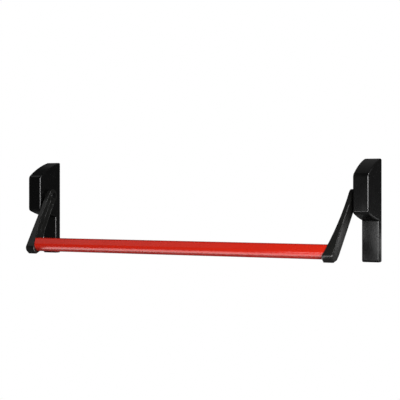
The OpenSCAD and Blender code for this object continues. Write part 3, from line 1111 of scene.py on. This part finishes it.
@dataclass
class Latch:
    """The active unit's latch bolt, the part of the latch that shows outside the cover.

    Attributes:
        unit: the active unit.
        z: range of height.
        plan: the bolt seen from above, as (x, depth).
        edge: how far its edges are eased.
        bore_radius: radius of the bore for the spring.
        bore_x: range of x of the bore.
        bore_centre: depth and height of its axis.
    """

    unit: Unit
    z: Point = (50.7, 73.7)
    plan: tuple[Point, ...] = ((0, 9), (28.5, 9), (28.5, 12), (17, 25), (0, 25))
    edge: float = 0.7
    bore_radius: float = 3.4
    bore_x: Point = (-1, 18)
    bore_centre: Point = (17, 67.5)

    def build(self) -> bpy.types.Object:
        """Makes a bevelled nose on a square shank, bored for its spring.

        Returns:
            The finished bolt.
        """
        low, high = self.z
        bm = bmesh.new()
        face = bm.faces.new([bm.verts.new((x, -depth, low)) for x, depth in self.plan])
        made = bmesh.ops.extrude_face_region(bm, geom=[face], use_keep_orig=True)
        top = [v for v in made["geom"] if isinstance(v, BMVert)]
        bmesh.ops.translate(bm, verts=top, vec=(0, 0, high - low))
        bmesh.ops.recalc_face_normals(bm, faces=bm.faces)
        soften(bm, bm.edges[:], self.edge, 3)
        bm = combine(bm, rod(self.bore_radius, *self.bore_x, *self.bore_centre), Cut.REMOVE)
        return self.unit.finish(bm, "latch_nose", "latch", "bolt_chrome", stands_for="latch_bolt")


def wound(points: Sequence[Vector], radius: float) -> BMesh:
    """A round wire along a path.

    Args:
        points: the middle of the wire.
        radius: the wire's radius.

    Returns:
        A closed mesh.
    """
    curve = bpy.data.curves.new("wire", "CURVE")
    curve.dimensions = "3D"
    curve.bevel_depth = radius
    curve.bevel_resolution = 3
    curve.use_fill_caps = True
    path = curve.splines.new("POLY")
    path.points.add(len(points) - 1)
    for spot, point in zip(path.points, points):
        spot.co = (*point, 1.0)
    thing = bpy.data.objects.new("wire", curve)
    bpy.context.scene.collection.objects.link(thing)
    mesh = bpy.data.meshes.new_from_object(thing)
    bm = bmesh.new()
    bm.from_mesh(mesh)
    bpy.data.objects.remove(thing)
    bpy.data.curves.remove(curve)
    bpy.data.meshes.remove(mesh)
    bmesh.ops.remove_doubles(bm, verts=bm.verts, dist=MERGE)
    bmesh.ops.recalc_face_normals(bm, faces=bm.faces)
    return bm


@dataclass
class ReturnSpring:
    """A unit's torsion spring, from a leg on the plate round the shaft to a leg on the lever.

    Attributes:
        unit: the unit.
        coil_radius: radius of the coil, to the middle of the wire.
        coil_x: range of x of the coil.
        wire_radius: radius of the wire.
        turns: turns of the coil, before the part of a turn that lays its end on the lever.
        lever_rest: how far the lever hangs below level at rest, in degrees.
        plate_leg: depth of both ends of the leg on the plate.
        lever_leg: how far the leg on the lever runs straight, and where it ends.
        lever_leg_x: x of that leg's end.
        steps_per_turn: flats for each turn.
    """

    unit: Unit
    coil_radius: float = 7.2
    coil_x: Point = (-7.5, 0.2)
    wire_radius: float = 0.9
    turns: float = 3.5
    lever_rest: float = 12.5
    plate_leg: Point = (4.2, 25.0)
    lever_leg: Point = (13.0, 23.0)
    lever_leg_x: float = 3.2
    steps_per_turn: int = 28

    def path(self) -> list[Vector]:
        """The middle of the wire.

        Returns:
            Its points, in the unit's frame.
        """
        depth, z = self.unit.pivot
        r, (first, last) = self.coil_radius, self.coil_x
        sweep = 360 * self.turns + self.lever_rest
        steps = int(self.turns * self.steps_per_turn)
        points = [Vector((first, -d, z - r)) for d in self.plate_leg]
        for i in range(steps + 1):
            a = math.radians(-90 + sweep * i / steps)
            x = first + (last - first) * i / steps
            points.append(Vector((x, -depth - r * math.cos(a), z + r * math.sin(a))))
        tilt = math.radians(self.lever_rest)
        leg = Vector((0, math.cos(tilt), -math.sin(tilt)))
        straight, end = self.lever_leg
        off_coil = points[-1].copy()
        points.append(off_coil + straight * leg)
        points.append(Vector((self.lever_leg_x, off_coil.y, off_coil.z)) + end * leg)
        return points

    def build(self) -> bpy.types.Object:
        """Winds the spring in its rest shape.

        Returns:
            The finished spring.
        """
        label = self.unit.side.label
        return self.unit.finish(
            wound(self.path(), self.wire_radius), f"{label}_return_coil", "bar_and_arms",
            "spring_wire", stands_for=f"{label}_return_spring", bend=self.coil_x,
        )


@dataclass
class LatchSpring:
    """The compression spring that pushes the latch bolt out.

    Attributes:
        unit: the active unit.
        x: range of x, from the guide's end to the floor of the bolt's bore.
        centre: depth and height of its axis.
        radius: radius of the coil, to the middle of the wire.
        wire_radius: radius of the wire.
        turns: turns of the coil.
        steps_per_turn: flats for each turn.
    """

    unit: Unit
    x: Point = (-11.9, 17.5)
    centre: Point = (17.0, 67.5)
    radius: float = 2.5
    wire_radius: float = 0.4
    turns: int = 11
    steps_per_turn: int = 16

    def path(self) -> list[Vector]:
        """The middle of the wire.

        Returns:
            Its points, in the unit's frame.
        """
        (low, high), (depth, z) = self.x, self.centre
        steps = self.turns * self.steps_per_turn
        points = []
        for i in range(steps + 1):
            a = 2 * math.pi * self.turns * i / steps
            x = low + (high - low) * i / steps
            points.append(Vector((x, -depth + self.radius * math.cos(a), z + self.radius * math.sin(a))))
        return points

    def build(self) -> bpy.types.Object:
        """Winds the spring in its rest shape.

        Returns:
            The finished spring.
        """
        return self.unit.finish(
            wound(self.path(), self.wire_radius), "latch_coil", "latch", "spring_wire",
            stands_for="latch_spring", bend=self.x,
        )


def dress_frame() -> None:
    """Gives every CAD node the finish of its material slot."""
    slots = {p["node"]: p["material_slot"] for p in frame["record"]["subparts"]}
    for name, node in frame["nodes"].items():
        node.data.materials.clear()
        node.data.materials.append(SLOT_FINISHES[slots[name]].material())


# ---- studio --------------------------------------------------------------------------------


@dataclass(frozen=True)
class Lamp:
    """A rectangular soft light.

    Attributes:
        name: the lamp's name.
        azimuth: degrees to the right of the line that faces the door.
        elevation: degrees above the horizon.
        distance: metres from the aim.
        size: width and height in metres.
        radiance: how bright its face is, where 1 is the white of the surround.
        aim: the point that it faces, in metres.
        only_gloss: lights only what mirrors it, like a small reflector card.
    """

    name: str
    azimuth: float
    elevation: float
    distance: float
    size: tuple[float, float]
    radiance: float
    aim: tuple[float, float, float] = (0.0, -0.05, 0.0)
    only_gloss: bool = False

    def build(self) -> None:
        """Adds the light, turned to its aim, and hidden from the camera."""
        data = bpy.data.lights.new(self.name, "AREA")
        data.shape = "RECTANGLE"
        data.size, data.size_y = self.size
        data.energy = math.pi * self.radiance * self.size[0] * self.size[1]
        lamp = bpy.data.objects.new(self.name, data)
        az, el = math.radians(self.azimuth), math.radians(self.elevation)
        way = Vector((math.sin(az) * math.cos(el), -math.cos(az) * math.cos(el), math.sin(el)))
        lamp.location = Vector(self.aim) + way * self.distance
        lamp.rotation_euler = (-way).to_track_quat("-Z", "Y").to_euler()
        lamp.visible_camera = False
        lamp.visible_diffuse = not self.only_gloss
        bpy.context.scene.collection.objects.link(lamp)


@dataclass(frozen=True)
class Studio:
    """A pale floor, soft lamps, a pale surround and the camera.

    Attributes:
        floor_z: height of the floor, in metres.
        floor_reach: half of the floor's side, in metres.
        ambient: how strongly the surround and the floor light the object.
        white: how bright they look from the camera.
        camera_place: where the camera stands, in metres.
        camera_azimuth: how far it is turned to the left of facing the door, in degrees.
        lens: its focal length in mm, on a film 36 mm wide.
        shift: how far the lens is shifted upwards, as a part of the picture's width.
        lamps: the soft lights.
    """

    floor_z: float = -0.101
    floor_reach: float = 8.0
    ambient: float = 0.03
    white: float = 1.0
    camera_place: tuple[float, float, float] = (1.0532, -2.0759, 0.0381)
    camera_azimuth: float = 26.97
    lens: float = 99.1
    shift: float = -0.0227
    lamps: tuple[Lamp, ...] = (
        Lamp("key_front", 48, 8, 2.5, (1.8, 1.2), 18),
        Lamp("soft_upper_left", -72, 50, 2.0, (1.0, 0.8), 0.5),
        Lamp("soft_behind_above", -154, 44, 2.0, (1.6, 1.6), 0.08, only_gloss=True),
        Lamp("rim_upper_right", 95, 40, 1.5, (0.5, 0.5), 12, only_gloss=True),
        Lamp("card_under_bar", 0, -90, 0.0, (0.64, 0.04), 3.8, (0.0, -0.156, -0.1), True),
        Lamp("card_before_idle_unit", -18, -3, 0.35, (0.20, 0.08), 6, (0.376, -0.015, -0.07), True),
        Lamp("card_behind_idle_arm", 152, -4, 0.5, (0.1, 0.08), 1.9, (0.35, -0.12, -0.07), True),
    )

    def backdrop(self, tree: bpy.types.NodeTree, output: str, lit: bpy.types.NodeSocket) -> None:
        """Ends a node tree so that the camera sees plain white and light sees another shader.

        Args:
            tree: the node tree.
            output: the type of its output node.
            lit: the shader that lights and reflects.
        """
        seen = add_node(tree, "ShaderNodeLightPath").outputs["Is Camera Ray"]
        plain = add_node(
            tree, "ShaderNodeBackground" if "World" in output else "ShaderNodeEmission",
            inputs={"Color": (1, 1, 1, 1), "Strength": self.white},
        )
        mix = add_node(tree, "ShaderNodeMixShader", inputs={0: seen, 1: lit, 2: plain.outputs[0]})
        add_node(tree, output, inputs={"Surface": mix.outputs[0]})

    def floor(self) -> None:
        """A wide pale floor."""
        bm = bmesh.new()
        bmesh.ops.create_grid(bm, x_segments=1, y_segments=1, size=self.floor_reach)
        bmesh.ops.translate(bm, verts=bm.verts, vec=(0, 0, self.floor_z))
        mesh = bpy.data.meshes.new("floor")
        bm.to_mesh(mesh)
        bm.free()
        sheet = bpy.data.objects.new("floor", mesh)
        bpy.context.scene.collection.objects.link(sheet)
        paper = bpy.data.materials.new("white_paper")
        paper.use_nodes = True
        tree = paper.node_tree
        tree.nodes.clear()
        shader = add_node(
            tree,
            "ShaderNodeBsdfPrincipled",
            inputs={
                "Base Color": linear("#8c8c8c"),
                "Roughness": 0.8,
                "Specular IOR Level": 0.1,
                "Emission Color": (1, 1, 1, 1),
                "Emission Strength": self.ambient,
            },
        )
        self.backdrop(tree, "ShaderNodeOutputMaterial", shader.outputs[0])
        mesh.materials.append(paper)

    def world(self) -> None:
        """A dim surround that lights the object, seen as white from the camera."""
        world = bpy.data.worlds.new("surround")
        bpy.context.scene.world = world
        world.use_nodes = True
        tree = world.node_tree
        tree.nodes.clear()
        dim = add_node(
            tree, "ShaderNodeBackground", inputs={"Color": (1, 1, 1, 1), "Strength": self.ambient}
        )
        self.backdrop(tree, "ShaderNodeOutputWorld", dim.outputs[0])

    def camera(self) -> None:
        """A level camera with a long lens, to the right of the bar's middle."""
        data = bpy.data.cameras.new("camera")
        data.sensor_width = 36
        data.lens = self.lens
        data.shift_y = self.shift
        data.clip_end = 60
        cam = bpy.data.objects.new("camera", data)
        cam.location = self.camera_place
        cam.rotation_euler = (math.radians(90), 0, math.radians(self.camera_azimuth))
        bpy.context.scene.collection.objects.link(cam)
        bpy.context.scene.camera = cam

    def build(self) -> None:
        """Builds the whole studio."""
        bpy.context.scene.view_settings.view_transform = "Standard"
        self.camera()
        self.floor()
        self.world()
        for lamp in self.lamps:
            lamp.build()


def main() -> None:
    """Builds the studio, dresses the CAD nodes and makes every visible piece."""
    logging.basicConfig(level=logging.INFO, format="%(name)s: %(message)s")
    Studio().build()
    dress_frame()
    for side in Side:
        unit = Unit.from_frame(side)
        Cover.from_frame(unit).build()
        arm = Arm(unit)
        arm.build_arm()
        arm.build_cap()
        arm.build_screw()
        ReturnSpring(unit).build()
        if side is Side.IDLE:
            PushBar(unit, arm).build()
        else:
            Latch(unit).build()
            LatchSpring(unit).build()


if __name__ == "__main__":
    main()
